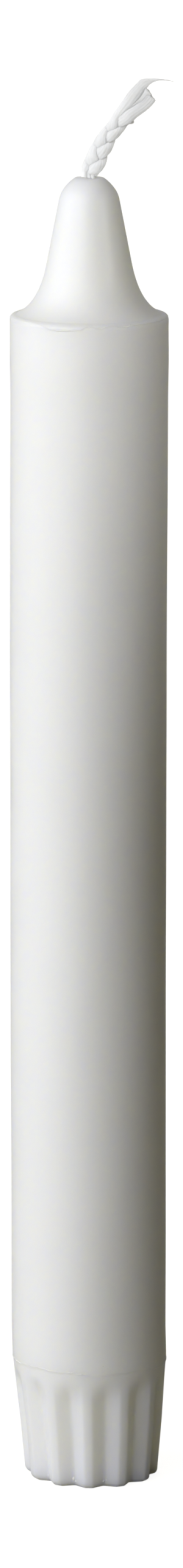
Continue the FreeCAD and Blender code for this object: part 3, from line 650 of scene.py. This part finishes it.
def plug_radius(bearing, height):
    """Radius of the fluted plug at an angle from the front towards +X, and at a height."""
    depth = mix(FLUTE_FOOT_DEPTH, FLUTE_TOP_DEPTH, height / PLUG_LENGTH)
    radius = mix(PLUG_FOOT_RADIUS, PLUG_TOP_RADIUS, height / PLUG_LENGTH)
    return float(flute_radius(bearing - HALF_TURN / 2, radius, depth, 1.0))


def crumbs(material):
    """Small crumbs left on the shoulder and above the plug, and chips at the foot."""
    skin = Skin()
    for degrees, height, size, tall in CRUMBS + CHIPS:
        bearing = math.radians(degrees)
        if height < PLUG_LENGTH:
            radius = plug_radius(bearing, height) - CHIP_SUNK * size
        elif height < LIP_HEIGHT - SWELL_LENGTH:
            radius = COLUMN_FOOT_RADIUS
        else:
            radius = rim_radius(LIP_HEIGHT - height)
        middle = wax_middle(height)
        centre = np.array([middle + radius * math.sin(bearing), -radius * math.cos(bearing), height])
        rings = []
        for level in np.linspace(-1, 1, CRUMB_LEVELS + 2)[1:-1]:
            girth = size * math.sqrt(1 - level ** 2)
            rings.append([(centre + (girth * draw.uniform(0.8, 1.25) * math.cos(turn),
                                     girth * draw.uniform(0.5, 0.8) * math.sin(turn),
                                     tall * size * 0.8 * level + draw.uniform(-0.02, 0.02))).tolist()
                          for turn in np.linspace(0, FULL_TURN, CRUMB_SIDES, endpoint=False)])
        skin.add_rings(rings)
    return new_piece("wax_crumbs", skin, material)


# Materials

def linear(hex_colour):
    """Linear colour of an sRGB hex value."""
    channels = [int(hex_colour[index:index + 2], 16) / 255 for index in (1, 3, 5)]
    return tuple(value / 12.92 if value <= 0.04045 else ((value + 0.055) / 1.055) ** 2.4
                 for value in channels) + (1.0,)


def add_node(tree, kind, links=None, values=None, **settings):
    """Node with its settings, its input values and its incoming links."""
    node = tree.nodes.new(kind)
    for name, value in settings.items():
        setattr(node, name, value)
    for name, value in (values or {}).items():
        node.inputs[name].default_value = value
    for name, output in (links or {}).items():
        tree.links.new(output, node.inputs[name])
    return node


def new_material(name):
    material = bpy.data.materials.new(name)
    material.use_nodes = True
    tree = material.node_tree
    tree.nodes.clear()
    return material, tree


def place_in_mm(tree):
    """Place on the object in millimetres, for patterns of a real size."""
    place_node = add_node(tree, "ShaderNodeTexCoord")
    in_mm = add_node(tree, "ShaderNodeVectorMath", {0: place_node.outputs["Object"]},
                     {1: (1 / MM, 1 / MM, 1 / MM)}, operation="MULTIPLY")
    return in_mm.outputs[0]


def pressed_wax():
    """Stearin and paraffin wax, pressed in a steel mould: satin, slightly see-through, faintly mottled."""
    material, tree = new_material("pressed_candle_wax")
    in_mm = place_in_mm(tree)
    # Mottling from uneven cooling, patches about 12 mm across
    mottle = add_node(tree, "ShaderNodeTexNoise", {"Vector": in_mm},
                      {"Scale": 1 / 12, "Detail": 3.0, "Roughness": 0.55})
    tint = add_node(tree, "ShaderNodeMix", {"Factor": mottle.outputs["Fac"]},
                    {"A": linear("#F8F7F3"), "B": linear("#FDFCF9")}, data_type="RGBA")
    # Frosty bloom, grains about 0.4 mm, hardly raised
    grain = add_node(tree, "ShaderNodeTexNoise", {"Vector": in_mm},
                     {"Scale": 1 / 0.4, "Detail": 4.0, "Roughness": 0.6})
    # Fine draw lines along the candle from the press, a few per millimetre
    stretched = add_node(tree, "ShaderNodeVectorMath", {0: in_mm}, {1: (2.5, 2.5, 0.04)},
                         operation="MULTIPLY")
    lines = add_node(tree, "ShaderNodeTexNoise", {"Vector": stretched.outputs[0]},
                     {"Scale": 1.0, "Detail": 2.0})
    height = add_node(tree, "ShaderNodeMath", {0: grain.outputs["Fac"], 1: lines.outputs["Fac"]},
                      operation="ADD")
    bump = add_node(tree, "ShaderNodeBump", {"Height": height.outputs[0]},
                    {"Strength": 0.1, "Distance": 0.03 * MM})
    gloss = add_node(tree, "ShaderNodeMapRange", {"Value": mottle.outputs["Fac"]},
                     {"From Min": 0.3, "From Max": 0.7, "To Min": 0.34, "To Max": 0.46})
    shader = add_node(tree, "ShaderNodeBsdfPrincipled",
                      {"Base Color": tint.outputs["Result"], "Roughness": gloss.outputs[0],
                       "Normal": bump.outputs[0]},
                      {"IOR": 1.44, "Subsurface Weight": 0.85, "Subsurface Radius": (1.0, 0.94, 0.6),
                       "Subsurface Scale": 6.6 * MM})
    add_node(tree, "ShaderNodeOutputMaterial", {"Surface": shader.outputs[0]})
    return material


def broken_wax():
    """Thin torn wax, as at a mould seam: frosty and matt, so it looks whiter than the pressed face."""
    material, tree = new_material("broken_wax")
    # Grains about 0.15 mm
    grain = add_node(tree, "ShaderNodeTexNoise", {"Vector": place_in_mm(tree)},
                     {"Scale": 1 / 0.15, "Detail": 3.0})
    tint = add_node(tree, "ShaderNodeMix", {"Factor": grain.outputs["Fac"]},
                    {"A": linear("#F4F3EE"), "B": linear("#FDFDFB")}, data_type="RGBA")
    bump = add_node(tree, "ShaderNodeBump", {"Height": grain.outputs["Fac"]},
                    {"Strength": 0.5, "Distance": 0.05 * MM})
    shader = add_node(tree, "ShaderNodeBsdfPrincipled",
                      {"Base Color": tint.outputs["Result"], "Normal": bump.outputs[0]},
                      {"Roughness": 0.7, "IOR": 1.44})
    add_node(tree, "ShaderNodeOutputMaterial", {"Surface": shader.outputs[0]})
    return material


def raw_cotton():
    """Bleached cotton yarn, loosely spun: matt and fuzzy, with fine fibres along each thread."""
    material, tree = new_material("bleached_cotton_yarn")
    # The lay is in millimetres: along the strand first, then round it
    lay = add_node(tree, "ShaderNodeAttribute", attribute_name="lay")
    # Fibres about 0.1 mm thick, drawn out along the strand
    drawn_out = add_node(tree, "ShaderNodeVectorMath", {0: lay.outputs["Vector"]}, {1: (0.04, 1.0, 1.0)},
                         operation="MULTIPLY")
    fibres = add_node(tree, "ShaderNodeTexNoise", {"Vector": drawn_out.outputs[0]},
                      {"Scale": 1 / 0.1, "Detail": 1.0, "Roughness": 0.5})
    tint = add_node(tree, "ShaderNodeMix", {"Factor": fibres.outputs["Fac"]},
                    {"A": linear("#F0EFEC"), "B": linear("#FFFFFE")}, data_type="RGBA")
    bump = add_node(tree, "ShaderNodeBump", {"Height": fibres.outputs["Fac"]},
                    {"Strength": 0.3, "Distance": 0.01 * MM})
    shader = add_node(tree, "ShaderNodeBsdfPrincipled",
                      {"Base Color": tint.outputs["Result"], "Normal": bump.outputs[0]},
                      {"Roughness": 0.9, "IOR": 1.5, "Specular IOR Level": 0.2, "Sheen Weight": 0.15,
                       "Sheen Roughness": 0.4, "Subsurface Weight": 1.0,
                       "Subsurface Radius": (1.0, 0.98, 0.95), "Subsurface Scale": 0.3 * MM})
    add_node(tree, "ShaderNodeOutputMaterial", {"Surface": shader.outputs[0]})
    return material


def pale_floor():
    """Plain white card: the camera sees it white, with the candle's shadow on it."""
    material, tree = new_material("white_card")
    ray = add_node(tree, "ShaderNodeLightPath")
    card = add_node(tree, "ShaderNodeBsdfDiffuse", values={"Color": linear("#A4A195")})
    glow = add_node(tree, "ShaderNodeEmission", {"Strength": ray.outputs["Is Camera Ray"]},
                    {"Color": (0.92, 0.92, 0.92, 1.0)})
    both = add_node(tree, "ShaderNodeAddShader", {0: card.outputs[0], 1: glow.outputs[0]})
    add_node(tree, "ShaderNodeOutputMaterial", {"Surface": both.outputs[0]})
    return material


# Studio

FLOOR_HALF = 6.0            # metres
AIM_HEIGHT = 0.1            # metres: the lamps face the middle of the candle
SPOT_SOFTNESS = 0.06        # metres: radius of a spot's face
LENS = 200.0
CAMERA_ELEVATION = 11.2
CAMERA_PLACE = (0.32, -1214.0, 341.55)


def add_floor():
    corners = [(across * FLOOR_HALF, behind * FLOOR_HALF, 0)
               for across, behind in ((-1, -1), (1, -1), (1, 1), (-1, 1))]
    mesh = bpy.data.meshes.new("floor")
    mesh.from_pydata(corners, [], [(0, 1, 2, 3)])
    mesh.materials.append(pale_floor())
    floor = bpy.data.objects.new("floor", mesh)
    bpy.context.scene.collection.objects.link(floor)


def place_lamp(name, lamp, azimuth, elevation, distance, across, height):
    """Object for a lamp that faces a place of the candle; its azimuth runs from the front towards +X."""
    azimuth, elevation = math.radians(azimuth), math.radians(elevation)
    stand = bpy.data.objects.new(name, lamp)
    stand.location = (across + distance * math.cos(elevation) * math.sin(azimuth),
                      -distance * math.cos(elevation) * math.cos(azimuth),
                      height + distance * math.sin(elevation))
    stand.rotation_euler = (HALF_TURN / 2 - elevation, 0, azimuth)
    bpy.context.scene.collection.objects.link(stand)
    return stand


def add_lamp(name, azimuth, elevation, distance, width, height, power, colour, seen=True):
    """Soft box that faces the middle of the candle.

    A lamp that isn't seen lights the candle, but shows neither to the camera nor in the wax's gloss.
    """
    lamp = bpy.data.lights.new(name, "AREA")
    lamp.shape = "RECTANGLE"
    lamp.size = width
    lamp.size_y = height
    lamp.energy = power
    lamp.color = linear(colour)[:3]
    box = place_lamp(name, lamp, azimuth, elevation, distance, 0.0, AIM_HEIGHT)
    box.visible_camera = seen
    box.visible_glossy = seen


def add_spot(name, azimuth, elevation, distance, beam, power, colour, across, height):
    """Soft-edged spot on a place of the candle, given in millimetres across and up."""
    lamp = bpy.data.lights.new(name, "SPOT")
    lamp.spot_size = math.radians(beam)
    lamp.spot_blend = 1.0
    lamp.shadow_soft_size = SPOT_SOFTNESS
    lamp.energy = power
    lamp.color = linear(colour)[:3]
    place_lamp(name, lamp, azimuth, elevation, distance, across * MM, height * MM)


def add_world():
    """White for the camera, grey in reflections, a weak warm light on the candle itself."""
    world = bpy.data.worlds.new("studio")
    bpy.context.scene.world = world
    world.use_nodes = True
    tree = world.node_tree
    tree.nodes.clear()
    ray = add_node(tree, "ShaderNodeLightPath")
    light = add_node(tree, "ShaderNodeBackground", values={"Color": linear("#FFE8A8"), "Strength": 0.03})
    white = add_node(tree, "ShaderNodeBackground", values={"Color": (1, 1, 1, 1), "Strength": 1.0})
    grey = add_node(tree, "ShaderNodeBackground", values={"Color": (1, 1, 1, 1), "Strength": 0.35})
    mirrored = add_node(tree, "ShaderNodeMixShader",
                        {0: ray.outputs["Is Glossy Ray"], 1: light.outputs[0], 2: grey.outputs[0]})
    seen = add_node(tree, "ShaderNodeMixShader",
                    {0: ray.outputs["Is Camera Ray"], 1: mirrored.outputs[0], 2: white.outputs[0]})
    add_node(tree, "ShaderNodeOutputWorld", {"Surface": seen.outputs[0]})


def add_camera():
    """Long lens a little above the candle, as in the photograph."""
    camera = bpy.data.cameras.new("camera")
    camera.lens = LENS
    camera.clip_end = 50
    view = bpy.data.objects.new("camera", camera)
    view.location = [value * MM for value in CAMERA_PLACE]
    view.rotation_euler = (math.radians(90 - CAMERA_ELEVATION), 0, 0)
    bpy.context.scene.collection.objects.link(view)
    bpy.context.scene.camera = view


wax = pressed_wax()
torn = broken_wax()
cotton = raw_cotton()

body = wax_skin(wax)
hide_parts("wax_body")
for strand in STRANDS:
    strand_skin(strand, cotton)
press_flash(torn)
crumbs(torn)

# Lamps: distances and sizes in metres, powers in watts
add_floor()
add_world()
add_lamp("key", -55, 22, 1.2, 2.2, 1.3, 23.2, "#F9FBFF")
add_lamp("back", 180, 4, 2.2, 2.2, 1.2, 42, "#FFFFFF", seen=False)
add_spot("crown", 55, 14, 0.9, 6.0, 20.0, "#FFFFFF", 0, 186)
add_spot("wick", -25, 22, 0.9, 2.6, 10.0, "#FFFFFF", 5, 199)
add_camera()
bpy.context.scene.view_settings.view_transform = "Standard"
